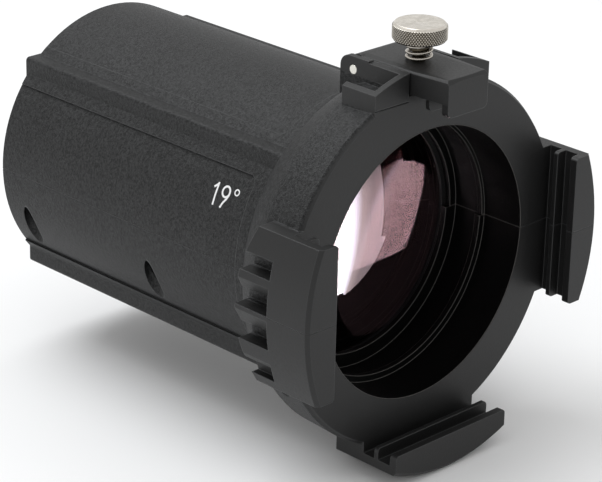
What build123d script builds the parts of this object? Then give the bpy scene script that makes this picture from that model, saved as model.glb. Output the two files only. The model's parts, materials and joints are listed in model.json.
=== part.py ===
from build123d import *
import os
from math import sqrt

# Interchangeable lens tube of an ellipsoidal spotlight: two moulded half shells that hold three lenses,
# with four double-slot accessory brackets round the front ring. The top bracket is a hinged gate, locked by
# a captive thumb screw. Millimetres. The origin is on the optical axis in the plane of the front ring's
# face, +Y runs to the rear along the tube, and +Z is up.

# ---- driving dimensions ----
TUBE_R = 45.0            # outside of the tube
TUBE_END = 140.7         # rear end of the tube
WALL_R = 41.0            # inside of the tube
RAIL_X, RAIL_Z = 34.15, 34.5   # the four square guide rails stand at these corners
RAIL_ROUND = 1.2
PANEL_R = 44.3           # side panels, slightly below the tube's surface
PANEL_Z = 26.4
PANEL_START = 33.0
TOP_PANEL_R = 44.7
TOP_PANEL_X = 26.2
PANEL_LENGTH = 120.0     # the panels run out at the tube's end
PANEL_ROUND = 2.5
PANEL_DEEP = 30.0        # cutting tools for the panels start inside the wall

RING_R = 56.3            # front ring
BORE_R = 41.5            # front opening
BORE_DEPTH = 14.5
STEP_T = 2.0             # thickness of the step behind the bore
STEP_R = {"upper": 40.4, "lower": 39.4}      # inside of that step in each shell
STOP_R = {"upper": 38.4, "lower": 36.6}      # inside of the rib in front of the front lens in each shell
RING_BEVEL = (1.6, 1.0)  # bevel round the ring's edge, along the axis and in radius
END_BEVEL = 0.6
RAIL_START = 10.0
BELL_BACK = 55.7         # the bell's radius where it starts to curve down to the tube
BELL_STRAIGHT = 14.0
BELL_MID = (22.5, 51.6)
BELL_END = 28.5

BLOCK_HALF = 23.5        # half width of each bracket
BLOCK_R = 61.2           # outer arc of the brackets
BLOCK_REAR = 15.7        # rear end of the brackets, halfway up them
BLOCK_REAR_R = 62.0      # the rear end is an arc when seen from the side
BLOCK_CONE = (1.1, 1.2)  # bevel round the front of the outer arc, along the axis and in radius
SLOT_FLOOR = 53.7        # from the axis to the bottom of an accessory slot
LIP_IN = 49.8            # from the axis to the inner edge of the lips
SLOT_1 = 4.4             # first slot runs from the ring's face to here
RIB_T = 1.5              # rib between the two slots
SLOT_2 = 10.6            # second slot ends here
SLOT_2_DRAFT = 0.3       # draft on the back of the front lip
LIP_ROUND = 1.5
BLOCK_FOOT = 50.0        # the brackets are rooted this far in
LIP_FRONT = 13.3         # front face of the brackets

LOUVRE_Z = (13.0, 2.5, -8.0, -18.5)
LOUVRE_H = 4.6
LOUVRE_START = 2.8
LOUVRE_FLOOR = 55.0
LOUVRE_LIP = 58.6        # the blades slope out from here
LOUVRE_RISE = 4.6        # height of a blade's slope

PIN_R, PIN_Y, PIN_Z = 1.5, 20.1, 56.7
EAR_IN, EAR_OUT, EAR_TOP, EAR_REAR, EAR_ROUND = 10.0, 12.0, 60.6, 25.2, 3.5
HINGE_BLOCK_LOW = 44.0
HINGE_WALL_REAR = 13.0
POCKET_WALL, POCKET_FRONT = 1.8, 2.0
CORE_RIB = 26.0          # the hollow behind the ring stops this far from the brackets' middles
CORE_SHAPE = [(4, 45), (4, 52.6), (15, 52.0), (19.5, 49.8), (23, 45)]    # (axial, radius)
JOINT_LINE = (51.7, 52.0, 0.3)    # line across the ring under the hinge block: low, high, depth
GATE_TOP = 60.8
GATE_FLOOR = 53.4        # bottom of the channel that the gate closes into
GATE_GAP = 0.3
GATE_REAR_X, GATE_MID_X, GATE_FRONT_X = 9.7, 9.3, 8.1    # half widths of the gate at its pin, ring and lip
GATE_BEVEL = 0.7
GATE_LIP_ROUND = 1.7
BARREL_R = 4.1

SCREW_Y = 6.0            # thumb screw, on x = 0
STUD_R = 2.0
HEAD_R, HEAD_LOW, HEAD_HIGH = 8.0, 66.7, 71.8
LIFT = 2.8               # the thumb screw's travel into its insert, four turns of 0.7 mm pitch
CLIP_LOW, CLIP_T, CLIP_R = 56.8, 0.6, 3.4
CLIP_ROOM_R, CLIP_ROOM = 4.2, 0.8    # recess for the clip under the gate
GROOVE_R, GROOVE = 1.65, (56.7, 57.5)    # the thumb screw's groove for the clip
STUD_LOW, STUD_TIP = 53.9, 0.5
NECK_R, NECK_LOW = 2.9, 63.7
HEAD_CHAMFER_LOW, HEAD_CHAMFER_TOP = 0.5, 0.9
INSERT_R, INSERT_LOW = 3.0, 48.3
SPRING_WIRE = 0.8
SPRING_R = 3.6

SHELL_SCREW_X = 40.0     # the middle and rear shell screws
SHELL_SCREW_YS = (73.5, 131.0)
FRONT_SCREW_X, FRONT_SCREW_Y = 49.5, 9.0
SCREW_HEAD_R, SCREW_HEAD_H, SCREW_END = 2.75, 2.4, 9.4
RECESS = (2.8, 0.6, 1.2)    # cross recess in a screw's head: length, width, depth
POCKET_R = 3.0           # pockets that the screw heads sit in
SHANK_R = 1.5            # M3 screws, and the dowels
CLEAR_R = 1.7            # the screws' holes in the lower shell
BOSS_R = 4.6
BOSS_TOP, BOSS_LOW, DOWEL_BOSS_LOW = 14.0, -28.0, -12.0
SCREW_HOLE_TOP = 10.0
DOWEL_HALF = 5.0
SEAT_Z = -6.0
DOWEL_Y = 102.0
GAP = 0.12               # parting gap that shows as a line between the shells

FAR = 80.0               # beyond the whole object, for cutting tools
FULL = (-FAR, FAR)
LENGTHWISE = (-30, 160)
SIDES = [1, -1]

os.makedirs("parts", exist_ok=True)


def save(builder, name):
    """Name a finished piece and write it."""
    builder.part.label = name
    export_step(builder.part, f"parts/{name}.step")


def ring(points):
    """A solid of revolution about the optical axis, from (axial, radius) corners."""
    with BuildPart() as made:
        with BuildSketch(Plane.XY):
            with BuildLine():
                Polyline(*[(radius, axial) for axial, radius in points], close=True)
            make_face()
        revolve(axis=Axis.Y)
    return made.part


def disc(radius, start, end):
    """A cylinder on the optical axis from start to end."""
    return ring([(start, 0), (start, radius), (end, radius), (end, 0)])


def upright(x, y, radius, low, high):
    """A vertical cylinder."""
    with BuildPart() as made:
        with BuildSketch(Plane.XY.offset(low)):
            with Locations((x, y)):
                Circle(radius)
        extrude(amount=high - low)
    return made.part


def block(x_range, y_range, z_range):
    """A box from its lowest to its highest corner."""
    with BuildPart() as made:
        with BuildSketch(Plane.XY.offset(z_range[0])):
            with Locations(((x_range[0] + x_range[1]) / 2, (y_range[0] + y_range[1]) / 2)):
                Rectangle(x_range[1] - x_range[0], y_range[1] - y_range[0])
        extrude(amount=z_range[1] - z_range[0])
    return made.part


# ---- lens places: edge radius, start and end of the edge, front and back curvature (0 is flat) ----
FRONT_LENS = {"r": 39.0, "start": 30.2, "end": 35.2, "front": 100.0, "back": 150.0}
MIDDLE_LENS = {"r": 37.0, "start": 54.0, "end": 58.0, "front": 90.0, "back": 0.0}
REAR_LENS = {"r": 34.0, "start": 116.0, "end": 120.0, "front": 0.0, "back": 80.0}
GASKET_T = 1.0           # thickness of a gasket's web and lips
FIT = 0.05               # clearance between pieces that rest in each other
RIB_W = 2.0              # moulded ribs that hold the gaskets
CATCH = 1.6              # how far a gasket's lips come in over the glass
FRONT_RING_T, FRONT_RING_IN, FRONT_RING_OUT = 1.2, 36.9, 40.0
BAFFLE_Y, BAFFLE_T, BAFFLE_HOLE, BAFFLE_RIB_R = 87.0, 1.5, 30.0, 38.0


def gasket_bounds(lens):
    return lens["start"] - FIT - GASKET_T, lens["end"] + FIT + GASKET_T


def lens_groove(lens, front_extra=0.0):
    """Corners of the groove and its two ribs on the inside of the shells, from front to rear."""
    low, high = gasket_bounds(lens)
    low -= FIT + front_extra
    high += FIT
    floor = lens["r"] + FIT + GASKET_T + FIT
    top = lens["r"] - CATCH - 0.8
    return [(low - RIB_W, WALL_R), (low - RIB_W, top), (low, top), (low, floor), (high, floor),
            (high, top), (high + RIB_W, top), (high + RIB_W, WALL_R)]


def barrel(half):
    """The turned shape that both shells share, with the inner ribs of the upper or the lower half."""
    stop_back = gasket_bounds(FRONT_LENS)[0] - 2 * FIT - FRONT_RING_T
    stop_front = stop_back - RIB_W
    baffle_front, baffle_back = BAFFLE_Y - FIT, BAFFLE_Y + BAFFLE_T + FIT
    front_groove = lens_groove(FRONT_LENS, FRONT_RING_T + FIT)
    inner = [(0, BORE_R), (BORE_DEPTH, BORE_R), (BORE_DEPTH, STEP_R[half]),
             (BORE_DEPTH + STEP_T, STEP_R[half]), (BORE_DEPTH + STEP_T, WALL_R)]
    inner += [(stop_front, WALL_R), (stop_front, STOP_R[half]), (stop_back, STOP_R[half])]
    inner += front_groove[3:]
    inner += lens_groove(MIDDLE_LENS)
    inner += [(baffle_front - RIB_W, WALL_R), (baffle_front - RIB_W, BAFFLE_RIB_R),
              (baffle_front, BAFFLE_RIB_R), (baffle_front, WALL_R), (baffle_back, WALL_R),
              (baffle_back, BAFFLE_RIB_R), (baffle_back + RIB_W, BAFFLE_RIB_R),
              (baffle_back + RIB_W, WALL_R)]
    inner += lens_groove(REAR_LENS)
    inner += [(TUBE_END, WALL_R)]
    with BuildPart() as turned:
        with BuildSketch(Plane.XY):
            with BuildLine():
                Polyline(*[(radius, axial) for axial, radius in inner])
                Polyline((WALL_R, TUBE_END), (TUBE_R - END_BEVEL, TUBE_END), (TUBE_R, TUBE_END - END_BEVEL),
                         (TUBE_R, BELL_END))
                ThreePointArc((TUBE_R, BELL_END), (BELL_MID[1], BELL_MID[0]), (BELL_BACK, BELL_STRAIGHT))
                Polyline((BELL_BACK, BELL_STRAIGHT), (RING_R, RING_BEVEL[0]), (RING_R - RING_BEVEL[1], 0),
                         (BORE_R, 0))
            make_face()
        revolve(axis=Axis.Y)
        # square guide rails along the tube
        with BuildSketch(Plane.XZ.offset(-TUBE_END)):
            RectangleRounded(2 * RAIL_X, 2 * RAIL_Z, RAIL_ROUND)
            Circle(TUBE_R - 1, mode=Mode.SUBTRACT)
        extrude(amount=TUBE_END - RAIL_START)
    return turned.part


def outer_turn():
    """Everything inside the brackets' outer arc and the bevel round its front."""
    return ring([(-LIP_FRONT, 0), (-LIP_FRONT, BLOCK_R - BLOCK_CONE[1]),
                 (-LIP_FRONT + BLOCK_CONE[0], BLOCK_R), (EAR_REAR + 1, BLOCK_R), (EAR_REAR + 1, 0)])


def bracket():
    """The right-hand accessory bracket: two slots between the ring, a rib and the front lip."""
    with BuildPart() as made:
        with BuildSketch(Plane.XY.offset(-BLOCK_HALF)):
            with BuildLine():
                Polyline((BLOCK_FOOT, BLOCK_REAR + 1), (BLOCK_R + 1, BLOCK_REAR + 1),
                         (BLOCK_R + 1, -LIP_FRONT), (LIP_IN, -LIP_FRONT), (LIP_IN, -SLOT_2 - SLOT_2_DRAFT),
                         (SLOT_FLOOR, -SLOT_2), (SLOT_FLOOR, -SLOT_1 - RIB_T), (LIP_IN, -SLOT_1 - RIB_T),
                         (LIP_IN, -SLOT_1), (SLOT_FLOOR, -SLOT_1), (SLOT_FLOOR, 0), (BLOCK_FOOT, 0),
                         close=True)
            make_face()
        extrude(amount=2 * BLOCK_HALF)
        lip_ends = made.edges().filter_by(Axis.Y).filter_by_position(Axis.X, LIP_IN - 0.1, LIP_IN + 0.1)
        fillet(lip_ends, LIP_ROUND)
        add(outer_turn(), mode=Mode.INTERSECT)
        # the rear end, an arc in side view
        with BuildSketch(Plane.YZ.offset(BLOCK_FOOT)):
            with Locations((BLOCK_REAR - BLOCK_REAR_R, 0)):
                Circle(BLOCK_REAR_R)
        extrude(amount=BLOCK_R - BLOCK_FOOT, mode=Mode.INTERSECT)
    return made.part


def louvres():
    """Cooling louvres in the back half of a side bracket, each with a blade that slopes out above it."""
    with BuildPart() as made:
        for middle in LOUVRE_Z:
            low = middle - LOUVRE_H / 2
            top = middle + LOUVRE_H / 2
            with BuildSketch(Plane.XZ.offset(-LOUVRE_START)):
                with BuildLine():
                    Polyline((LOUVRE_FLOOR, low), (BLOCK_R + 3, low), (BLOCK_R + 3, top + LOUVRE_RISE),
                             (BLOCK_R, top + LOUVRE_RISE), (LOUVRE_LIP, top), (LOUVRE_FLOOR, top), close=True)
                make_face()
            extrude(amount=-BLOCK_REAR)
    return made.part


def side_panel():
    """What is cut from the right side of the tube to leave the shallow panel."""
    with BuildPart() as made:
        with BuildSketch(Plane.YZ.offset(PANEL_DEEP)):
            with Locations((PANEL_START + PANEL_LENGTH / 2, 0)):
                RectangleRounded(PANEL_LENGTH, 2 * PANEL_Z, PANEL_ROUND)
        extrude(amount=TUBE_R - PANEL_DEEP + 1)
        add(disc(PANEL_R, 0, PANEL_START + PANEL_LENGTH), mode=Mode.SUBTRACT)
    return made.part


def top_panel():
    """What is cut from the top of the tube between the rails."""
    with BuildPart() as made:
        with BuildSketch(Plane.XY.offset(PANEL_DEEP)):
            with Locations((0, PANEL_START + PANEL_LENGTH / 2)):
                RectangleRounded(2 * TOP_PANEL_X, PANEL_LENGTH, PANEL_ROUND)
        extrude(amount=TUBE_R - PANEL_DEEP + 1)
        add(disc(TOP_PANEL_R, 0, PANEL_START + PANEL_LENGTH), mode=Mode.SUBTRACT)
    return made.part


def core():
    """Hollow between the bell and the bore, left open between the brackets to keep the walls even."""
    with BuildPart() as hollow:
        add(ring(CORE_SHAPE))
        add(block((-CORE_RIB, CORE_RIB), (0, 30), FULL), mode=Mode.SUBTRACT)
        add(block(FULL, (0, 30), (-CORE_RIB, CORE_RIB)), mode=Mode.SUBTRACT)
    return hollow.part


def ear_corner():
    """What is cut from both ears to round their upper rear corners."""
    with BuildPart() as made:
        with BuildSketch(Plane.YZ.offset(-EAR_OUT - 1)):
            with Locations((EAR_REAR - EAR_ROUND / 2 + 0.5, EAR_TOP - EAR_ROUND / 2 + 0.5)):
                Rectangle(EAR_ROUND + 1, EAR_ROUND + 1)
            with Locations((EAR_REAR - EAR_ROUND, EAR_TOP - EAR_ROUND)):
                Circle(EAR_ROUND, mode=Mode.SUBTRACT)
        extrude(amount=2 * EAR_OUT + 2)
    return made.part


def hinge_pocket(side):
    """The pocket beside an ear, down to the bell, open to the rear."""
    with BuildPart() as made:
        add(block(sorted((side * EAR_OUT, side * (BLOCK_HALF - POCKET_WALL))), (POCKET_FRONT, EAR_REAR + 5),
                  (40, FAR)))
        add(disc(BELL_BACK - 0.4, 0, EAR_REAR + 6), mode=Mode.SUBTRACT)
    return made.part


def boss(side, y, low, high):
    """A boss for a screw or a dowel, kept inside the tube."""
    with BuildPart() as made:
        add(upright(side * SHELL_SCREW_X, y, BOSS_R, low, high))
        add(disc(PANEL_R - 0.2, PANEL_START, TUBE_END), mode=Mode.INTERSECT)
    return made.part


UPPER_HALF = block(FULL, LENGTHWISE, (0, FAR))
LOWER_HALF = block(FULL, LENGTHWISE, (-FAR, -GAP))
RIGHT = bracket()
LEFT = mirror(RIGHT, about=Plane.YZ)
BOTTOM = RIGHT.rotate(Axis.Y, 90)
SIDE_PANEL = side_panel()
TOP_PANEL = top_panel()
CORE = core()
LOUVRES = louvres()

# ---- upper shell: top half, with the hinge block of the gate ----
with BuildPart() as upper_shell:
    add(barrel("upper"))
    add(RIGHT)
    add(LEFT)
    # hinge block: front wall, side walls and the two ears, standing on the ring
    with BuildSketch(Plane.XY.offset(HINGE_BLOCK_LOW)):
        with BuildLine():
            Polyline((-BLOCK_HALF, 0), (BLOCK_HALF, 0), (BLOCK_HALF, HINGE_WALL_REAR),
                     (EAR_OUT, HINGE_WALL_REAR), (EAR_OUT, EAR_REAR), (-EAR_OUT, EAR_REAR),
                     (-EAR_OUT, HINGE_WALL_REAR), (-BLOCK_HALF, HINGE_WALL_REAR), close=True)
        make_face()
    extrude(amount=BLOCK_R - HINGE_BLOCK_LOW)
    add(ring([(-5, BLOCK_R), (-5, FAR), (HINGE_WALL_REAR + 1, FAR), (HINGE_WALL_REAR + 1, BLOCK_R)]),
        mode=Mode.SUBTRACT)
    add(block(FULL, (-1, EAR_REAR + 5), (EAR_TOP, FAR)), mode=Mode.SUBTRACT)
    for side in SIDES:
        add(hinge_pocket(side), mode=Mode.SUBTRACT)
    add(ear_corner(), mode=Mode.SUBTRACT)
    # channel for the gate, deeper under the hinge barrel
    add(block((-EAR_IN, EAR_IN), (-1, EAR_REAR + 15), (GATE_FLOOR, FAR)), mode=Mode.SUBTRACT)
    add(block((-EAR_IN, EAR_IN), (PIN_Y - BARREL_R - GATE_GAP, EAR_REAR + 15),
              (PIN_Z - BARREL_R - GATE_GAP, FAR)), mode=Mode.SUBTRACT)
    add(SIDE_PANEL, mode=Mode.SUBTRACT)
    add(mirror(SIDE_PANEL, about=Plane.YZ, mode=Mode.PRIVATE), mode=Mode.SUBTRACT)
    add(TOP_PANEL, mode=Mode.SUBTRACT)
    add(CORE, mode=Mode.SUBTRACT)
    add(LOUVRES, mode=Mode.SUBTRACT)
    add(mirror(LOUVRES, about=Plane.YZ, mode=Mode.PRIVATE), mode=Mode.SUBTRACT)
    # bosses for the shell screws and the dowels, inside the tube
    for side in SIDES:
        for y in (*SHELL_SCREW_YS, DOWEL_Y):
            add(boss(side, y, 0, BOSS_TOP))
        for y in SHELL_SCREW_YS:
            add(upright(side * SHELL_SCREW_X, y, SHANK_R + FIT, -1, SCREW_HOLE_TOP), mode=Mode.SUBTRACT)
        add(upright(side * SHELL_SCREW_X, DOWEL_Y, SHANK_R + FIT, -1, DOWEL_HALF + 0.1), mode=Mode.SUBTRACT)
        add(upright(side * FRONT_SCREW_X, FRONT_SCREW_Y, SHANK_R + FIT, -1, SCREW_HOLE_TOP),
            mode=Mode.SUBTRACT)
    # hinge pin hole, and the hole for the thumb screw's insert
    with BuildSketch(Plane.YZ.offset(-EAR_OUT - 1)):
        with Locations((PIN_Y, PIN_Z)):
            Circle(PIN_R + 0.01)
    extrude(amount=2 * EAR_OUT + 2, mode=Mode.SUBTRACT)
    add(upright(0, SCREW_Y, INSERT_R + FIT, INSERT_LOW - 0.1, FAR), mode=Mode.SUBTRACT)
    # shallow line where the hinge block's front face stands on the ring
    for side in SIDES:
        add(block(sorted((side * EAR_IN, side * BLOCK_HALF)), (-1, JOINT_LINE[2]), JOINT_LINE[:2]),
            mode=Mode.SUBTRACT)
    add(UPPER_HALF, mode=Mode.INTERSECT)
save(upper_shell, "upper_shell")

# ---- lower shell: bottom half, with the bottom bracket and the screw pockets ----
with BuildPart() as lower_shell:
    add(barrel("lower"))
    add(RIGHT)
    add(LEFT)
    add(BOTTOM)
    add(SIDE_PANEL, mode=Mode.SUBTRACT)
    add(mirror(SIDE_PANEL, about=Plane.YZ, mode=Mode.PRIVATE), mode=Mode.SUBTRACT)
    add(CORE, mode=Mode.SUBTRACT)
    add(LOUVRES, mode=Mode.SUBTRACT)
    add(mirror(LOUVRES, about=Plane.YZ, mode=Mode.PRIVATE), mode=Mode.SUBTRACT)
    add(LOWER_HALF, mode=Mode.INTERSECT)
    for side in SIDES:
        for y in SHELL_SCREW_YS:
            add(boss(side, y, BOSS_LOW, -GAP))
        add(boss(side, DOWEL_Y, DOWEL_BOSS_LOW, -GAP))
        add(upright(side * FRONT_SCREW_X, FRONT_SCREW_Y, BOSS_R - 0.6, -2, -GAP))
    for side in SIDES:
        for x, y in [(SHELL_SCREW_X, SHELL_SCREW_YS[0]), (SHELL_SCREW_X, SHELL_SCREW_YS[1]),
                     (FRONT_SCREW_X, FRONT_SCREW_Y)]:
            add(upright(side * x, y, CLEAR_R, BOSS_LOW, 1), mode=Mode.SUBTRACT)
            add(upright(side * x, y, POCKET_R, -FAR, SEAT_Z), mode=Mode.SUBTRACT)
        add(upright(side * SHELL_SCREW_X, DOWEL_Y, SHANK_R + FIT, -DOWEL_HALF - 0.1, 1), mode=Mode.SUBTRACT)
save(lower_shell, "lower_shell")

# ---- accessory gate: plate, hinge barrel and two lips that carry the slots on over the top ----
with BuildPart() as accessory_gate:
    with BuildSketch(Plane.XY.offset(GATE_FLOOR + GATE_GAP)):
        with BuildLine():
            Polyline((-GATE_REAR_X, PIN_Y), (-GATE_MID_X, 0), (-GATE_FRONT_X, -LIP_FRONT),
                     (GATE_FRONT_X, -LIP_FRONT), (GATE_MID_X, 0), (GATE_REAR_X, PIN_Y), close=True)
        make_face()
    extrude(amount=GATE_TOP - GATE_FLOOR - GATE_GAP)
    # bevel along both sides of the top
    top_sides = accessory_gate.faces().sort_by(Axis.Z)[-1].edges().filter_by(GeomType.LINE)
    long_sides = top_sides.filter_by(Axis.X, reverse=True)
    chamfer(long_sides, GATE_BEVEL)
    # front lip and rib, rounded at their lower corners
    lip_low, lip_high = LIP_IN, GATE_FLOOR + 2
    for start, end, half in [(-LIP_FRONT, -SLOT_2 - SLOT_2_DRAFT, GATE_FRONT_X),
                             (-SLOT_1 - RIB_T, -SLOT_1, GATE_FRONT_X - 0.4)]:
        with BuildSketch(Plane.XZ.offset(-end)):
            with Locations((0, (lip_low + lip_high) / 2)):
                RectangleRounded(2 * half, lip_high - lip_low, GATE_LIP_ROUND)
        extrude(amount=end - start)
    add(outer_turn(), mode=Mode.INTERSECT)
    # hinge barrel
    with BuildSketch(Plane.YZ.offset(-GATE_REAR_X)):
        with Locations((PIN_Y, PIN_Z)):
            Circle(BARREL_R)
    extrude(amount=2 * GATE_REAR_X)
    with BuildSketch(Plane.YZ.offset(-EAR_OUT)):
        with Locations((PIN_Y, PIN_Z)):
            Circle(PIN_R + FIT)
    extrude(amount=2 * EAR_OUT, mode=Mode.SUBTRACT)
    # hole for the thumb screw, with room for its clip from below
    add(upright(0, SCREW_Y, STUD_R + 0.25, GATE_FLOOR - 1, GATE_TOP + 1), mode=Mode.SUBTRACT)
    add(upright(0, SCREW_Y, CLIP_ROOM_R, GATE_FLOOR - 1, CLIP_LOW + CLIP_ROOM), mode=Mode.SUBTRACT)
save(accessory_gate, "accessory_gate")

# ---- hinge pin, pressed into the ears ----
with BuildPart() as gate_hinge_pin:
    with BuildSketch(Plane.YZ.offset(-EAR_OUT)):
        with Locations((PIN_Y, PIN_Z)):
            Circle(PIN_R)
    extrude(amount=2 * EAR_OUT)
    chamfer(gate_hinge_pin.edges().filter_by(GeomType.CIRCLE), 0.2)
save(gate_hinge_pin, "gate_hinge_pin")

# ---- thumb screw, drawn backed out of its insert, with a groove for its clip ----
with BuildPart() as thumb_screw:
    with BuildSketch(Plane.XZ.offset(-SCREW_Y)):
        with BuildLine():
            Polyline((0, STUD_LOW), (STUD_R - STUD_TIP, STUD_LOW), (STUD_R, STUD_LOW + STUD_TIP),
                     (STUD_R, GROOVE[0]), (GROOVE_R, GROOVE[0]), (GROOVE_R, GROOVE[1]), (STUD_R, GROOVE[1]),
                     (STUD_R, NECK_LOW), (NECK_R, NECK_LOW), (NECK_R, HEAD_LOW),
                     (HEAD_R - HEAD_CHAMFER_LOW, HEAD_LOW), (HEAD_R, HEAD_LOW + HEAD_CHAMFER_LOW),
                     (HEAD_R, HEAD_HIGH - HEAD_CHAMFER_TOP), (HEAD_R - HEAD_CHAMFER_TOP, HEAD_HIGH),
                     (0, HEAD_HIGH), close=True)
        make_face()
    revolve(axis=Axis((0, SCREW_Y, 0), (0, 0, 1)))
save(thumb_screw, "thumb_screw")

# ---- retaining clip under the gate's plate, in the thumb screw's groove ----
with BuildPart() as thumb_screw_clip:
    with BuildSketch(Plane.XY.offset(CLIP_LOW)):
        with Locations((0, SCREW_Y)):
            Circle(CLIP_R)
            Circle(GROOVE_R + 0.1, mode=Mode.SUBTRACT)
        with Locations((0, SCREW_Y - CLIP_R + 0.4)):
            Rectangle(GROOVE_R, 4, mode=Mode.SUBTRACT)
    extrude(amount=CLIP_T)
save(thumb_screw_clip, "thumb_screw_clip")

# ---- spring between the gate and the thumb screw's head ----
SPRING_LOW = GATE_TOP + 0.05
SPRING_LENGTH = HEAD_LOW - SPRING_LOW - 0.05
SPRING_TURNS = 3
with BuildPart() as thumb_screw_spring:
    rise = SPRING_LENGTH - SPRING_WIRE
    with BuildLine() as coil:
        Helix(pitch=rise / SPRING_TURNS, height=rise, radius=SPRING_R,
              center=(0, SCREW_Y, SPRING_LOW + SPRING_WIRE / 2))
    with BuildSketch(Plane(origin=coil.line @ 0, z_dir=coil.line % 0)):
        Circle(SPRING_WIRE / 2)
    sweep()
save(thumb_screw_spring, "thumb_screw_spring")

# ---- brass insert in the hinge block ----
with BuildPart() as gate_lock_insert:
    with BuildSketch(Plane.XY.offset(INSERT_LOW)):
        with Locations((0, SCREW_Y)):
            Circle(INSERT_R)
    extrude(amount=GATE_FLOOR - INSERT_LOW - 0.1)
    add(upright(0, SCREW_Y, STUD_R + 0.06, INSERT_LOW + 1.2, FAR), mode=Mode.SUBTRACT)
save(gate_lock_insert, "gate_lock_insert")


def sag(curvature, radius):
    """How far a sphere's surface falls back at a radius."""
    return curvature - sqrt(curvature ** 2 - radius ** 2)


def lens_part(lens):
    """A lens, from its edge and the curvatures of its two faces."""
    edge = lens["r"]
    with BuildPart() as glass:
        with BuildSketch(Plane.XY):
            with BuildLine():
                front_apex = lens["start"]
                if lens["front"]:
                    front_apex -= sag(lens["front"], edge)
                    middle = edge / 2
                    ThreePointArc((0, front_apex), (middle, front_apex + sag(lens["front"], middle)),
                                  (edge, lens["start"]))
                else:
                    Line((0, front_apex), (edge, front_apex))
                Line((edge, lens["start"]), (edge, lens["end"]))
                back_apex = lens["end"]
                if lens["back"]:
                    back_apex += sag(lens["back"], edge)
                    middle = edge / 2
                    ThreePointArc((edge, lens["end"]), (middle, back_apex - sag(lens["back"], middle)),
                                  (0, back_apex))
                else:
                    Line((edge, back_apex), (0, back_apex))
                Line((0, back_apex), (0, front_apex))
            make_face()
        revolve(axis=Axis.Y)
    return glass


def gasket_part(lens):
    """The elastic U-shaped ring round a lens's edge."""
    low, high = gasket_bounds(lens)
    outer = lens["r"] + FIT + GASKET_T
    lip = lens["r"] - CATCH
    with BuildPart() as made:
        add(ring([(low, lip), (low, outer), (high, outer), (high, lip)]))
        add(ring([(low - 1, 0), (low - 1, lip), (high + 1, lip), (high + 1, 0)]), mode=Mode.SUBTRACT)
        add(disc(lens["r"] + FIT, lens["start"] - FIT, lens["end"] + FIT), mode=Mode.SUBTRACT)
        if lens["front"]:
            add(ring(bowl(lens, -1)), mode=Mode.SUBTRACT)
        if lens["back"]:
            add(ring(bowl(lens, 1)), mode=Mode.SUBTRACT)
    return made


def bowl(lens, way):
    """Corners of the cone that keeps a gasket's lip clear of a curved face; way is -1 front, 1 back."""
    edge = lens["r"]
    curvature = lens["front"] if way < 0 else lens["back"]
    rim = (lens["start"] if way < 0 else lens["end"]) + way * FIT
    fall = sag(curvature, edge) - sag(curvature, edge - CATCH)
    return [(rim - way * FIT, 0), (rim, edge), (rim + way * (fall + FIT), edge - CATCH),
            (rim + way * (fall + FIT), 0)]


for name, lens in [("front_lens", FRONT_LENS), ("middle_lens", MIDDLE_LENS), ("rear_lens", REAR_LENS)]:
    glass = lens_part(lens)
    save(glass, name)
    rubber = gasket_part(lens)
    save(rubber, name + "_gasket")

# ---- retaining ring in front of the front lens ----
ring_low = gasket_bounds(FRONT_LENS)[0] - FIT - FRONT_RING_T
ring_high = ring_low + FRONT_RING_T
with BuildPart() as front_retaining_ring:
    add(ring([(ring_low, FRONT_RING_IN), (ring_low, FRONT_RING_OUT), (ring_high, FRONT_RING_OUT),
              (ring_high, FRONT_RING_IN + 0.5), (ring_low + 0.5, FRONT_RING_IN)]))
save(front_retaining_ring, "front_retaining_ring")

# ---- light baffle between the middle and rear lenses ----
with BuildPart() as light_baffle:
    add(ring([(BAFFLE_Y, BAFFLE_HOLE + 1), (BAFFLE_Y, WALL_R - FIT), (BAFFLE_Y + BAFFLE_T, WALL_R - FIT),
              (BAFFLE_Y + BAFFLE_T, BAFFLE_HOLE)]))
save(light_baffle, "light_baffle")


def shell_screw(x, y):
    """A pan-head screw that goes up through the lower shell's pocket into the upper shell."""
    with BuildPart() as made:
        with BuildSketch(Plane.XZ.offset(-y)):
            with BuildLine():
                Polyline((x, SEAT_Z - SCREW_HEAD_H), (x + SCREW_HEAD_R - 0.6, SEAT_Z - SCREW_HEAD_H),
                         (x + SCREW_HEAD_R, SEAT_Z - SCREW_HEAD_H + 0.6), (x + SCREW_HEAD_R, SEAT_Z),
                         (x + SHANK_R, SEAT_Z), (x + SHANK_R, SCREW_END - 1), (x + 0.6, SCREW_END),
                         (x, SCREW_END), close=True)
            make_face()
        revolve(axis=Axis((x, y, 0), (0, 0, 1)))
        # cross recess in the head
        for spin in (0, 90):
            with BuildSketch(Plane.XY.offset(SEAT_Z - SCREW_HEAD_H)):
                with Locations((x, y)):
                    Rectangle(RECESS[0], RECESS[1], rotation=spin)
            extrude(amount=RECESS[2], mode=Mode.SUBTRACT)
    return made.part


for name, x, y in [("shell_screws_front", FRONT_SCREW_X, FRONT_SCREW_Y),
                   ("shell_screws_middle", SHELL_SCREW_X, SHELL_SCREW_YS[0]),
                   ("shell_screws_rear", SHELL_SCREW_X, SHELL_SCREW_YS[1])]:
    with BuildPart() as screws:
        for side in SIDES:
            add(shell_screw(side * x, y))
    save(screws, name)

# ---- steel dowels that line the shells up ----
with BuildPart() as shell_dowels:
    for side in SIDES:
        add(upright(side * SHELL_SCREW_X, DOWEL_Y, SHANK_R, -DOWEL_HALF, DOWEL_HALF))
save(shell_dowels, "shell_dowels")
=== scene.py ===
"""Looks of the spotlight's lens tube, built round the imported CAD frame. Metres, +Y to the rear, +Z up."""
import json
import math

import bmesh
import bpy
from mathutils import Matrix, Vector


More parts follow.
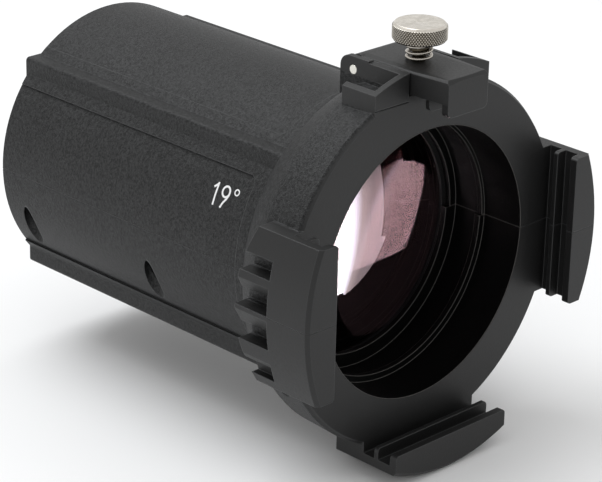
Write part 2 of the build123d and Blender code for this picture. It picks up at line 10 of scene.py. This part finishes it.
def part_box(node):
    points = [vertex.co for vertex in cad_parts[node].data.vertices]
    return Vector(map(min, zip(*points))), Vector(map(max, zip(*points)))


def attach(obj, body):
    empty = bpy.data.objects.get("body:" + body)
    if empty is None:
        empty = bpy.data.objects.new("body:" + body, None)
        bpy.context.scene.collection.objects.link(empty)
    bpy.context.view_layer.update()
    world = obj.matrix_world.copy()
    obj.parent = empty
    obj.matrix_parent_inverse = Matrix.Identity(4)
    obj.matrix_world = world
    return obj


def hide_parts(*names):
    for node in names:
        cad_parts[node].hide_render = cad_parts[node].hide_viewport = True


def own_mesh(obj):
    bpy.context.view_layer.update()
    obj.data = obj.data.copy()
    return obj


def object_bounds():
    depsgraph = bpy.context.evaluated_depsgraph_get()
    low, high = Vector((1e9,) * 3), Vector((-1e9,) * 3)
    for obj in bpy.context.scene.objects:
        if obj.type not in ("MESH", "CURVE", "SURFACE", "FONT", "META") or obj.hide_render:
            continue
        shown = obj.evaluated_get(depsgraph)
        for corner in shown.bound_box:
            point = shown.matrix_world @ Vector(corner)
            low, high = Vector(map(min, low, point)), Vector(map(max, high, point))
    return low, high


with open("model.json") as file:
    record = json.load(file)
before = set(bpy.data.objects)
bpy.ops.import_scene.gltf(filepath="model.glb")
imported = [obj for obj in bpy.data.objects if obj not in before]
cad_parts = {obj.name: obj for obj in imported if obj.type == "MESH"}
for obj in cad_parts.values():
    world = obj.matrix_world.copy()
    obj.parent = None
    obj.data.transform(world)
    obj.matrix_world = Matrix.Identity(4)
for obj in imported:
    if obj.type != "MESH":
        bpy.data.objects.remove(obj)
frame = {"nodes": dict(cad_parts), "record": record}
cad_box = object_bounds()
nodes = frame["nodes"]
scene = bpy.context.scene

MM = 0.001
FULL_TURN = 2 * math.pi
BORE_R = 41.5 * MM       # front opening of the shells
RING_R = 56.3 * MM       # front ring of the shells


# ---------------------------------------------------------------- mesh helpers

def new_mesh(name, made, smooth_under=35):
    """A mesh object from a bmesh. Edges sharper than smooth_under degrees stay sharp."""
    bmesh.ops.recalc_face_normals(made, faces=made.faces)
    data = bpy.data.meshes.new(name)
    made.to_mesh(data)
    made.free()
    piece = bpy.data.objects.new(name, data)
    scene.collection.objects.link(piece)
    data.shade_smooth()
    data.set_sharp_from_angle(angle=math.radians(smooth_under))
    return piece


def finish_piece(piece, body, paint, stands_for=()):
    """Give a piece its material and its body, and hide the CAD nodes that it stands for."""
    piece.data.materials.append(paint)
    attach(piece, body)
    if stands_for:
        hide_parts(*stands_for)
    return piece


def add_lathe(made, profile, segments, closed=False):
    """Revolve (radius, height) corners round the local Z axis into a bmesh. Returns the rings of vertices."""
    rings = []
    for radius, height in profile:
        if radius < 1e-7:
            rings.append([made.verts.new((0, 0, height))])
            continue
        rings.append([made.verts.new((radius * math.cos(FULL_TURN * i / segments),
                                      radius * math.sin(FULL_TURN * i / segments), height))
                      for i in range(segments)])
    pairs = list(zip(rings, rings[1:])) + ([(rings[-1], rings[0])] if closed else [])
    for low, high in pairs:
        bridge(made, low, high)
    return rings


def bridge(made, low, high):
    """Faces between two rings of vertices; either may be a single point."""
    count = max(len(low), len(high))
    for i in range(count):
        j = (i + 1) % count
        corners = [low[i % len(low)], low[j % len(low)], high[j % len(high)], high[i % len(high)]]
        unique = list(dict.fromkeys(corners))
        if len(unique) > 2:
            made.faces.new(unique)


def along_axis(piece):
    """Turn a piece lathed round Z so that its axis is the optical axis, with height running along +Y."""
    piece.data.transform(Matrix.Rotation(math.radians(-90), 4, "X"))
    return piece


# ---------------------------------------------------------------- material helpers

class Paint:
    """A Principled material whose node tree is built by short calls."""

    def __init__(self, name, **values):
        self.material = bpy.data.materials.new(name)
        self.material.use_nodes = True
        self.tree = self.material.node_tree
        self.shader = self.tree.nodes["Principled BSDF"]
        for key, value in values.items():
            self.shader.inputs[key.replace("_", " ")].default_value = value

    def node(self, kind, settings=None, **inputs):
        made = self.tree.nodes.new(kind)
        for key, value in (settings or {}).items():
            setattr(made, key, value)
        for key, value in inputs.items():
            self.put(value, made.inputs[key.replace("_", " ")])
        return made

    def put(self, value, socket):
        """Link an output, or set a plain value."""
        if isinstance(value, bpy.types.NodeSocket):
            self.tree.links.new(value, socket)
        else:
            socket.default_value = value

    def math(self, operation, a, b=0.0, clamp=False):
        made = self.tree.nodes.new("ShaderNodeMath")
        made.operation = operation
        made.use_clamp = clamp
        self.put(a, made.inputs[0])
        self.put(b, made.inputs[1])
        return made.outputs[0]

    def distance(self, a, b):
        """Distance from an axis, from the two coordinates across it."""
        squares = [self.math("MULTIPLY", value, value) for value in (a, b)]
        return self.math("SQRT", self.math("ADD", *squares))

    def place(self):
        """Position in the row frame, for pieces whose origin is the frame's."""
        return self.node("ShaderNodeTexCoord").outputs["Object"]

    def ramp(self, value, low, high, to_low=0.0, to_high=1.0):
        made = self.node("ShaderNodeMapRange", Value=value)
        for key, number in (("From Min", low), ("From Max", high), ("To Min", to_low), ("To Max", to_high)):
            self.put(number, made.inputs[key])
        return made.outputs["Result"]

    def noise(self, size, detail=2.0, where=None):
        """Noise whose features are about size metres."""
        made = self.node("ShaderNodeTexNoise", Vector=where or self.place(), Scale=1 / size, Detail=detail)
        return made.outputs["Fac"]

    def mix(self, factor, a, b):
        made = self.node("ShaderNodeMix", {"data_type": "RGBA"})
        self.put(factor, made.inputs["Factor"])
        self.put(a, made.inputs[6])
        self.put(b, made.inputs[7])
        return made.outputs[2]

    def bump(self, height, depth, normal=None, strength=1.0):
        """Bump from a 0 to 1 height that stands for depth metres."""
        made = self.node("ShaderNodeBump", Height=height, Strength=strength, Distance=depth)
        if normal is not None:
            self.put(normal, made.inputs["Normal"])
        return made.outputs["Normal"]

    def rounded(self, radius):
        """The normal with edges rounded to radius metres."""
        return self.node("ShaderNodeBevel", {"samples": 6}, Radius=radius).outputs["Normal"]

    def edges(self, soft_normal):
        """1 on edges and 0 on flats, from a rounded normal."""
        true_normal = self.node("ShaderNodeNewGeometry").outputs["Normal"]
        dot = self.node("ShaderNodeVectorMath", {"operation": "DOT_PRODUCT"})
        self.put(soft_normal, dot.inputs[0])
        self.put(true_normal, dot.inputs[1])
        return self.ramp(dot.outputs["Value"], 0.995, 0.86)

    def set(self, **links):
        for key, value in links.items():
            self.put(value, self.shader.inputs[key.replace("_", " ")])
        return self


def grey(value, warm=0.0):
    return (value * (1 + warm), value, value * (1 - warm), 1.0)


# ---------------------------------------------------------------- materials

def moulded_plastic(name, flat, grained, has_zones):
    """Black moulded plastic. On the shells the tube and bell are spark-eroded, the brackets and the ring's
    face are smoother, the edges get a painted highlight, and the bore is painted shade, near black, with
    painted highlights on its edges."""
    paint = Paint(name, IOR=1.46)
    place = paint.place()
    soft = paint.rounded(0.4 * MM)
    edge = paint.edges(soft)
    fine = paint.noise(0.36 * MM, 2.0, place)
    coarse = paint.noise(0.95 * MM, 2.0, place)
    cloud = paint.noise(26 * MM, 2.0, place)
    grain = paint.math("ADD", paint.math("MULTIPLY", fine, 0.55), paint.math("MULTIPLY", coarse, 0.45))
    speckle = paint.ramp(grain, 0.40, 0.62)
    if has_zones:
        split = paint.node("ShaderNodeSeparateXYZ", Vector=place)
        x, y, z = split.outputs
        radius = paint.distance(x, z)
        outside = paint.ramp(radius, BORE_R + 0.05 * MM, BORE_R + 0.4 * MM)
        within_ring = paint.ramp(radius, RING_R + 0.4 * MM, RING_R + 0.1 * MM)
        behind_face = paint.ramp(y, 0.5 * MM, 1.2 * MM)
        on_bell = paint.math("MULTIPLY", within_ring, behind_face)
        rough_zone = paint.math("MULTIPLY", on_bell, outside)
    else:
        outside, rough_zone = 1.0, 0.0
    smooth_colour = paint.mix(speckle, grey(flat * 0.85), grey(flat * 1.15))
    rough_colour = paint.mix(speckle, grey(grained * 0.4, -0.02), grey(grained * 1.9, -0.03))
    colour = paint.mix(rough_zone, smooth_colour, rough_colour)
    # painted highlight: the edges are lightened towards grey
    colour = paint.mix(paint.math("MULTIPLY", edge, 0.6), colour, grey(0.085, -0.02))
    colour = paint.mix(paint.ramp(cloud, 0.3, 0.7, 0.0, 0.18), colour, grey(flat * 0.5))
    # painted shade within the bore: a near-black colour, with a painted highlight on its edges
    painted_bore_shade_and_highlight = paint.mix(edge, grey(0.002), grey(0.10, 0.06))
    colour = paint.mix(outside, painted_bore_shade_and_highlight, colour)
    roughness = paint.ramp(speckle, 0, 1, 0.42, 0.52)
    roughness = paint.math("ADD", roughness, paint.math("MULTIPLY", rough_zone, 0.05))
    roughness = paint.math("SUBTRACT", roughness, paint.math("MULTIPLY", edge, 0.12))
    depth = paint.math("ADD", paint.math("MULTIPLY", rough_zone, 0.8), 0.2)
    height = paint.math("MULTIPLY", grain, depth)
    tint = paint.mix(rough_zone, grey(0.92), paint.mix(speckle, grey(0.42), grey(1.0)))
    # within the bore, reflections are turned down to deepen the painted shade, and the edges keep theirs
    tint = paint.mix(outside, paint.mix(edge, grey(0.10), grey(0.9)), tint)
    return paint.set(Base_Color=colour, Roughness=roughness, Specular_Tint=tint,
                     Normal=paint.bump(height, 0.3 * MM, soft)).material


def metal(name, colour, rough, flaw=0.15, edge_radius=0.08):
    """Bare metal with a little uneven polish and rounded edges."""
    paint = Paint(name, Metallic=1.0)
    soft = paint.rounded(edge_radius * MM)
    cloud = paint.noise(1.6 * MM, 4.0)
    fine = paint.noise(0.12 * MM, 2.0)
    tone = paint.mix(paint.ramp(cloud, 0.35, 0.7), [c * (1 - flaw) for c in colour] + [1.0], [*colour, 1.0])
    return paint.set(Base_Color=tone, Roughness=paint.ramp(cloud, 0.3, 0.7, rough * 0.8, rough * 1.25),
                     Normal=paint.bump(fine, 0.008 * MM, soft)).material


def turned_steel():
    """Stainless steel with the fine concentric marks of a lathe, with painted shade down in the knurl's
    grooves and under the head."""
    paint = Paint("stainless", Metallic=1.0, Anisotropic=0.5)
    place = paint.place()
    turning = paint.node("ShaderNodeTexWave", {"wave_type": "RINGS", "rings_direction": "Z"},
                         Vector=place, Scale=1 / (1.1 * MM), Distortion=0.6, Detail=3.0, Detail_Scale=2.0)
    cloud = paint.noise(1.8 * MM, 4.0, place)
    groove = turning.outputs["Fac"]
    split = paint.node("ShaderNodeSeparateXYZ", Vector=place)
    x, y, z = split.outputs
    radius = paint.distance(x, y)
    on_side = paint.ramp(z, HEAD_TOP - TOP_CHAMFER + 0.12 * MM, HEAD_TOP - TOP_CHAMFER - 0.02 * MM)
    deep = paint.ramp(radius, HEAD_R - 0.08 * MM, HEAD_R - KNURL_DEPTH)
    tone = paint.mix(paint.ramp(cloud, 0.35, 0.7), (0.66, 0.62, 0.55, 1), (0.84, 0.80, 0.73, 1))
    # painted shade down in the knurl's grooves, on the head's side
    tone = paint.mix(paint.math("MULTIPLY", on_side, deep), tone, (0.12, 0.105, 0.085, 1))
    # painted shade below the head: its underside, neck and stud are darkened
    tone = paint.mix(paint.ramp(z, HEAD_LOW + 0.1 * MM, HEAD_LOW - 0.3 * MM), tone, (0.10, 0.085, 0.06, 1))
    tangent = paint.node("ShaderNodeTangent", {"direction_type": "RADIAL", "axis": "Z"}).outputs[0]
    return paint.set(Base_Color=tone, Roughness=paint.ramp(groove, 0, 1, 0.24, 0.34), Tangent=tangent,
                     Normal=paint.bump(groove, 0.006 * MM)).material


def rubber():
    paint = Paint("silicone", IOR=1.42)
    cloud = paint.noise(3 * MM, 3.0)
    return paint.set(Base_Color=paint.mix(cloud, grey(0.010), grey(0.020)),
                     Roughness=paint.ramp(cloud, 0.3, 0.7, 0.45, 0.6),
                     Normal=paint.bump(paint.noise(0.2 * MM), 0.01 * MM)).material


def black_metal(name, tone, rough):
    """Anodised or black-oxide metal, with a painted highlight that lightens its edges."""
    paint = Paint(name, IOR=1.4)
    soft = paint.rounded(0.12 * MM)
    fine = paint.noise(0.25 * MM, 3.0)
    colour = paint.mix(fine, grey(tone * 0.8), grey(tone * 1.25))
    # painted highlight: the edges are lightened
    colour = paint.mix(paint.math("MULTIPLY", paint.edges(soft), 0.5), colour, grey(tone * 5))
    return paint.set(Base_Color=colour, Roughness=paint.ramp(fine, 0.3, 0.7, rough * 0.85, rough * 1.15),
                     Normal=paint.bump(fine, 0.01 * MM, soft)).material


def coated_glass():
    """Optical glass whose reflections are tinted purple, as by a coating. It is darker than real glass, so
    that what lies behind it stays dark."""
    paint = Paint("coated_glass", IOR=1.52, Transmission_Weight=1.0, Specular_Tint=(0.92, 0.72, 0.78, 1.0),
                  Base_Color=(0.20, 0.15, 0.155, 1.0))
    haze = paint.noise(9 * MM, 3.0)
    return paint.set(Roughness=paint.ramp(haze, 0.35, 0.75, 0.0, 0.004)).material


def white_ink():
    paint = Paint("white_ink", IOR=1.5)
    worn = paint.noise(0.25 * MM, 3.0)
    return paint.set(Base_Color=paint.mix(paint.ramp(worn, 0.3, 0.6), grey(0.62), grey(0.80)),
                     Roughness=paint.ramp(worn, 0.3, 0.7, 0.4, 0.55)).material


STEEL = (0.68, 0.66, 0.61)
SCREW_LOW, SCREW_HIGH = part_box("thumb_screw")
SCREW_CENTRE = (SCREW_LOW + SCREW_HIGH) / 2
HEAD_R = SCREW_HIGH.x
HEAD_TOP = SCREW_HIGH.z
HEAD_LOW = HEAD_TOP - 5.1 * MM
TOP_CHAMFER = 0.8 * MM
LOW_CHAMFER = 0.5 * MM
KNURLS = 60              # diamonds round the head
KNURL_ROWS = 7           # half rows
KNURL_DEPTH = 0.36 * MM
NECK_R = 2.9 * MM
NECK_DROP = 3.0 * MM     # the neck's lower end, below the head
STUD_R = 2.0 * MM
GROOVE_R = 1.65 * MM     # groove for the clip
GROOVE_DROPS = (9.2 * MM, 10.0 * MM)     # its two ends, below the head
PITCH = 0.7 * MM

shell_plastic = moulded_plastic("shell_plastic", flat=0.009, grained=0.011, has_zones=True)
gate_plastic = moulded_plastic("gate_plastic", flat=0.010, grained=0.011, has_zones=False)
stainless = turned_steel()
spring_steel = metal("spring_steel", (0.62, 0.58, 0.52), 0.22)
pin_steel = metal("pin_steel", (0.78, 0.76, 0.70), 0.3)
glass = coated_glass()
ink = white_ink()
slot_paints = {
    "shell_plastic": shell_plastic,
    "gate_plastic": gate_plastic,
    "pin_steel": pin_steel,
    "clip_steel": metal("clip_steel", (0.30, 0.29, 0.28), 0.35),
    "brass": metal("brass", (0.75, 0.56, 0.26), 0.28),
    "silicone": rubber(),
    "anodised_black": black_metal("anodised_black", 0.004, 0.5),
    "screw_steel": black_metal("screw_steel", 0.022, 0.38),
    "dowel_steel": metal("dowel_steel", STEEL, 0.25),
}
for part in frame["record"]["subparts"]:
    paint = slot_paints.get(part["material_slot"])
    if paint:
        for material_slot in nodes[part["node"]].material_slots:
            material_slot.material = paint


# ---------------------------------------------------------------- lenses

def fall(curvature, across):
    """How far a lens's face lies back at a distance from its middle; a curvature of 0 is a flat face."""
    return curvature - math.sqrt(curvature ** 2 - across ** 2) if curvature else 0.0


def lens_piece(node, front_radius, back_radius):
    """A finely lathed lens in the place of its CAD node; a radius of 0 is a flat face."""
    low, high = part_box(node)
    edge = high.x
    start, end = low.y, high.y
    steps = 48
    across = [edge * i / steps for i in range(steps + 1)]
    profile = [(r, start + fall(front_radius, r)) for r in across]
    profile += [(r, end - fall(back_radius, r)) for r in reversed(across)]
    made = bmesh.new()
    add_lathe(made, profile, 192)
    piece = along_axis(new_mesh(node + "_glass", made))
    return finish_piece(piece, "barrel", glass, [node])


lens_piece("front_lens", front_radius=100 * MM, back_radius=150 * MM)
lens_piece("middle_lens", front_radius=90 * MM, back_radius=0)
lens_piece("rear_lens", front_radius=0, back_radius=80 * MM)


# ---------------------------------------------------------------- thumb screw

def knurl_rings(made, low, high):
    """Rings of a diamond knurl. Each ring has the grooves' crossings and the diamonds' points by turns."""
    rings = []
    for row in range(KNURL_ROWS + 1):
        height = low + (high - low) * row / KNURL_ROWS
        ring = []
        for i in range(2 * KNURLS):
            is_point = (i + row) % 2 == 0
            radius = HEAD_R if is_point else HEAD_R - KNURL_DEPTH
            turn = FULL_TURN * i / (2 * KNURLS)
            ring.append(made.verts.new((radius * math.cos(turn), radius * math.sin(turn), height)))
        rings.append(ring)
    return rings


def knurl_faces(made, rings):
    """Split each cell of the knurl along the edge that runs from groove to groove."""
    for row, (low, high) in enumerate(zip(rings, rings[1:])):
        count = len(low)
        for i in range(count):
            j = (i + 1) % count
            if (i + row) % 2 == 0:
                made.faces.new((low[i], low[j], high[i]))
                made.faces.new((low[j], high[j], high[i]))
            else:
                made.faces.new((low[i], low[j], high[j]))
                made.faces.new((low[i], high[j], high[i]))


def knurled_head():
    """The head, with a chamfer each side of the knurl and a slightly dished, turned top."""
    made = bmesh.new()
    count = 2 * KNURLS
    rings = knurl_rings(made, HEAD_LOW + LOW_CHAMFER, HEAD_TOP - TOP_CHAMFER)
    knurl_faces(made, rings)
    rim = HEAD_R - TOP_CHAMFER
    blend = 0.06 * MM    # softens the chamfer's upper edge
    top = add_lathe(made, [(HEAD_R - KNURL_DEPTH, HEAD_TOP - TOP_CHAMFER + 0.1 * MM),
                           (rim + blend, HEAD_TOP - blend), (rim - blend, HEAD_TOP),
                           (HEAD_R * 0.55, HEAD_TOP), (0.5 * MM, HEAD_TOP - 0.03 * MM),
                           (0, HEAD_TOP - 0.12 * MM)], count)
    bridge(made, rings[-1], top[0])
    groove_top, groove_low = (HEAD_LOW - drop for drop in GROOVE_DROPS)
    bottom = add_lathe(made, [(HEAD_R - KNURL_DEPTH, HEAD_LOW + LOW_CHAMFER - 0.1 * MM),
                              (HEAD_R - LOW_CHAMFER, HEAD_LOW), (NECK_R, HEAD_LOW),
                              (NECK_R, HEAD_LOW - NECK_DROP), (STUD_R, HEAD_LOW - NECK_DROP),
                              (STUD_R, groove_top), (GROOVE_R, groove_top), (GROOVE_R, groove_low)], count)
    bridge(made, bottom[0], rings[0])
    add_thread(made, bottom[-1], groove_low, SCREW_LOW.z)
    return made


def add_thread(made, last_ring, top, bottom):
    """A V thread, coarsely stepped, under the clip's groove and down to a flat, chamfered end."""
    count = len(last_ring)
    steps = 28
    depth = 0.36 * MM
    end_r, end_chamfer = 1.4 * MM, 0.45 * MM
    previous = last_ring
    for step in range(steps + 1):
        height = top - (top - bottom - end_chamfer) * step / steps
        ring = []
        for i in range(count):
            phase = (height / PITCH + i / count) % 1.0
            cut = depth * abs(2 * phase - 1)
            ring.append(made.verts.new(((STUD_R - cut) * math.cos(FULL_TURN * i / count),
                                        (STUD_R - cut) * math.sin(FULL_TURN * i / count), height)))
        bridge(made, previous, ring)
        previous = ring
    ends = add_lathe(made, [(end_r, bottom), (0, bottom)], count)
    bridge(made, previous, ends[0])


screw = new_mesh("thumb_screw_knurled", knurled_head(), 20)
screw.location = (SCREW_CENTRE.x, SCREW_CENTRE.y, 0)
finish_piece(screw, "screw", stainless, ["thumb_screw"])


# ---------------------------------------------------------------- spring

def coil_spring(node, wire, closed_turns, open_turns):
    """A compression spring with closed ends, as a tube swept along its helix."""
    low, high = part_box(node)
    mean_r = (high.x - low.x) / 2 - wire
    centre = (low + high) / 2
    rise = high.z - low.z - 2 * wire
    end_rise = 2 * wire * closed_turns * 0.9
    turns = 2 * closed_turns + open_turns
    steps, sides = int(turns * 48), 12
    made = bmesh.new()
    rings = []
    for step in range(steps + 1):
        turn = turns * step / steps
        if turn < closed_turns:
            height = end_rise * turn / closed_turns
        elif turn > turns - closed_turns:
            height = rise - end_rise * (turns - turn) / closed_turns
        else:
            height = end_rise + (rise - 2 * end_rise) * (turn - closed_turns) / open_turns
        angle = FULL_TURN * turn
        out = Vector((math.cos(angle), math.sin(angle), 0))
        spot = Vector((centre.x, centre.y, low.z + wire + height)) + out * mean_r
        rings.append([made.verts.new(spot + wire * (out * math.cos(FULL_TURN * k / sides)
                                                    + Vector((0, 0, 1)) * math.sin(FULL_TURN * k / sides)))
                      for k in range(sides)])
    for a, b in zip(rings, rings[1:]):
        bridge(made, a, b)
    made.faces.new(rings[0])
    made.faces.new(rings[-1])
    return new_mesh(node + "_coil", made, 50)


spring = coil_spring("thumb_screw_spring", wire=0.48 * MM, closed_turns=0.8, open_turns=1.9)
finish_piece(spring, "gate", spring_steel, ["thumb_screw_spring"])
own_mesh(spring)


# ---------------------------------------------------------------- beam angle mark

PANEL_R = 44.3 * MM
MARK_START_Y = 47.9 * MM     # rear end of the mark
MARK_LOW_Z = 15.3 * MM
STROKE = 0.62 * MM
INK = 0.04 * MM


def ribbon(points, width, closed=False):
    """Left and right borders of a stroke of even width along flat points."""
    left, right = [], []
    count = len(points)
    for i, here in enumerate(points):
        before = points[i - 1] if closed or i else here
        after = points[(i + 1) % count] if closed or i < count - 1 else here
        along = (Vector(after) - Vector(before)).normalized()
        across = Vector((-along.y, along.x)) * width / 2
        left.append(Vector(here) + across)
        right.append(Vector(here) - across)
    return left, right


def on_panel(point, raised):
    """Wrap a flat point, (towards the front, up), onto the side panel at -X."""
    turn = math.asin(MARK_LOW_Z / PANEL_R) + point.y / PANEL_R
    radius = PANEL_R + raised
    return (-radius * math.cos(turn), MARK_START_Y - point.x, radius * math.sin(turn))


def add_stroke(made, points, closed=False, width=STROKE):
    """One stroke of ink, a little proud of the panel."""
    borders = ribbon(points, width, closed)
    low = [[made.verts.new(on_panel(p, -INK)) for p in border] for border in borders]
    high = [[made.verts.new(on_panel(p, INK)) for p in border] for border in borders]
    count = len(points)
    for i in range(count if closed else count - 1):
        j = (i + 1) % count
        made.faces.new((high[0][i], high[0][j], high[1][j], high[1][i]))
        made.faces.new((low[0][i], low[1][i], low[1][j], low[0][j]))
        for side in (0, 1):
            made.faces.new((low[side][i], low[side][j], high[side][j], high[side][i]))
    if not closed:
        for i in (0, count - 1):
            made.faces.new((low[0][i], high[0][i], high[1][i], low[1][i]))


def circle(centre_x, centre_y, radius_x, radius_y, steps=40):
    return [(centre_x + radius_x * math.cos(FULL_TURN * i / steps),
             centre_y + radius_y * math.sin(FULL_TURN * i / steps)) for i in range(steps)]


def beam_angle_mark():
    """The figures of the beam angle, 19 degrees, drawn with even strokes."""
    tall = 6.9 * MM
    made = bmesh.new()
    stem = 1.5 * MM
    add_stroke(made, [(stem, 0), (stem, tall / 2), (stem, tall)])
    add_stroke(made, [(stem - 1.35 * MM, tall - 1.75 * MM), (stem - 0.6 * MM, tall - 1.1 * MM),
                      (stem, tall - 0.45 * MM)])
    nine_x, nine_r = 5.3 * MM, 1.45 * MM
    loop_y = tall - nine_r - STROKE / 2 - 0.15 * MM
    add_stroke(made, circle(nine_x, loop_y, nine_r, nine_r + 0.15 * MM), closed=True)
    add_stroke(made, [(nine_x + nine_r, loop_y), (nine_x + nine_r * 0.95, loop_y - 0.9 * MM),
                      (nine_x + nine_r * 0.55, loop_y - 2.1 * MM), (nine_x - 0.1 * MM, loop_y - 3.4 * MM),
                      (nine_x - 0.75 * MM, 0)])
    degree_r = 0.85 * MM
    degree = circle(9.4 * MM, tall - 1.0 * MM, degree_r, degree_r, 24)
    add_stroke(made, degree, closed=True, width=0.42 * MM)
    return made


mark = new_mesh("beam_angle_mark", beam_angle_mark())
mark.data.materials.append(ink)
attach(mark, "barrel")


# ---------------------------------------------------------------- floor, light and camera

def studio_floor():
    paint = Paint("floor", Roughness=0.9, Specular_IOR_Level=0.2)
    paint.set(Base_Color=paint.mix(paint.noise(0.3, 2.0), grey(0.86), grey(0.88)))
    made = bmesh.new()
    bmesh.ops.create_grid(made, x_segments=8, y_segments=8, size=4.0)
    floor = new_mesh("floor", made)
    floor.location.z = cad_box[0].z - 0.2 * MM
    floor.data.materials.append(paint.material)


def softbox(name, spot, aim, size, power, tint=(1, 1, 1)):
    light = bpy.data.lights.new(name, "AREA")
    light.shape = "RECTANGLE"
    light.size, light.size_y = size
    light.energy = power
    light.color = tint
    holder = bpy.data.objects.new(name, light)
    scene.collection.objects.link(holder)
    holder.location = spot
    holder.rotation_mode = "QUATERNION"
    holder.rotation_quaternion = (Vector(aim) - Vector(spot)).to_track_quat("-Z", "Y")
    return holder


# the lens card's colours, from its side at 0 to straight ahead at 1
CARD_COLOURS = [(0.0, (0.045, 0.034, 0.045)), (0.40, (0.05, 0.04, 0.048)), (0.56, (0.09, 0.077, 0.078)),
                (0.62, (0.20, 0.18, 0.175)), (0.66, (0.60, 0.65, 0.72)), (0.70, (1, 1, 1)), (1.0, (1, 1, 1))]


def lens_card():
    """A softbox for the front lens alone, lying in front of it. It fades with direction from white, straight
    ahead, through brown to purple at the side."""
    wide, deep = 1.1, 0.9
    light = bpy.data.lights.new("lens_card", "AREA")
    light.shape = "RECTANGLE"
    light.size, light.size_y = wide, deep
    light.energy = 105
    holder = bpy.data.objects.new("lens_card", light)
    scene.collection.objects.link(holder)
    # facing up, with one corner below the middle of the lens's rim
    holder.location = (wide / 2, 0.02 - deep / 2, cad_box[0].z + 4 * MM)
    holder.rotation_euler = (math.pi, 0, 0)
    holder.visible_camera = False
    light.use_nodes = True
    tree = light.node_tree
    place = tree.nodes.new("ShaderNodeNewGeometry").outputs["Parametric"]
    split = tree.nodes.new("ShaderNodeSeparateXYZ")
    tree.links.new(place, split.inputs[0])
    angle = tree.nodes.new("ShaderNodeMath")
    angle.operation = "ARCTAN2"
    tree.links.new(split.outputs["Y"], angle.inputs[0])
    tree.links.new(split.outputs["X"], angle.inputs[1])
    spread = tree.nodes.new("ShaderNodeMapRange")
    tree.links.new(angle.outputs[0], spread.inputs["Value"])
    spread.inputs["From Max"].default_value = math.pi / 2
    ramp = tree.nodes.new("ShaderNodeValToRGB")
    tree.links.new(spread.outputs["Result"], ramp.inputs["Fac"])
    stops = ramp.color_ramp.elements
    for stop, (position, colour) in zip(stops, (CARD_COLOURS[0], CARD_COLOURS[-1])):
        stop.position, stop.color = position, (*colour, 1)
    for position, colour in CARD_COLOURS[1:-1]:
        stops.new(position).color = (*colour, 1)
    tree.links.new(ramp.outputs["Color"], tree.nodes["Emission"].inputs["Color"])
    lit = bpy.data.collections.new("lit_by_lens_card")
    lit.objects.link(bpy.data.objects["front_lens_glass"])
    holder.light_linking.receiver_collection = lit


def studio():
    middle = (0, 0.06, 0)
    softbox("overhead", (-0.25, 0.45, 1.1), middle, (1.0, 0.8), 9, (0.96, 0.98, 1.0))
    lens_card()
    world = bpy.data.worlds.new("studio")
    world.use_nodes = True
    background = world.node_tree.nodes["Background"].inputs
    background["Color"].default_value = (1, 1, 1, 1)
    background["Strength"].default_value = 0.8
    scene.world = world


def camera():
    """The photographer's place: to the left in front, looking down a little through a long lens."""
    azimuth, elevation, roll = (math.radians(a) for a in (-44.8387, 22.5611, 1.3404))
    lens = bpy.data.cameras.new("camera")
    lens.lens, lens.sensor_width = 154.93, 36.0
    lens.clip_start, lens.clip_end = 0.01, 20.0
    holder = bpy.data.objects.new("camera", lens)
    scene.collection.objects.link(holder)
    back = Vector((math.sin(azimuth) * math.cos(elevation), -math.cos(azimuth) * math.cos(elevation),
                   math.sin(elevation)))
    level = Vector((math.cos(azimuth), math.sin(azimuth), 0))
    upright = back.cross(level)
    right = math.cos(roll) * level + math.sin(roll) * upright
    up = back.cross(right)
    turn = Matrix((right, up, back)).transposed().to_4x4()
    holder.matrix_world = Matrix.Translation((-0.51366, -0.46506, 0.29353)) @ turn
    scene.camera = holder


studio_floor()
studio()
camera()
scene.view_settings.view_transform = "Standard"
scene.view_settings.look = "None"
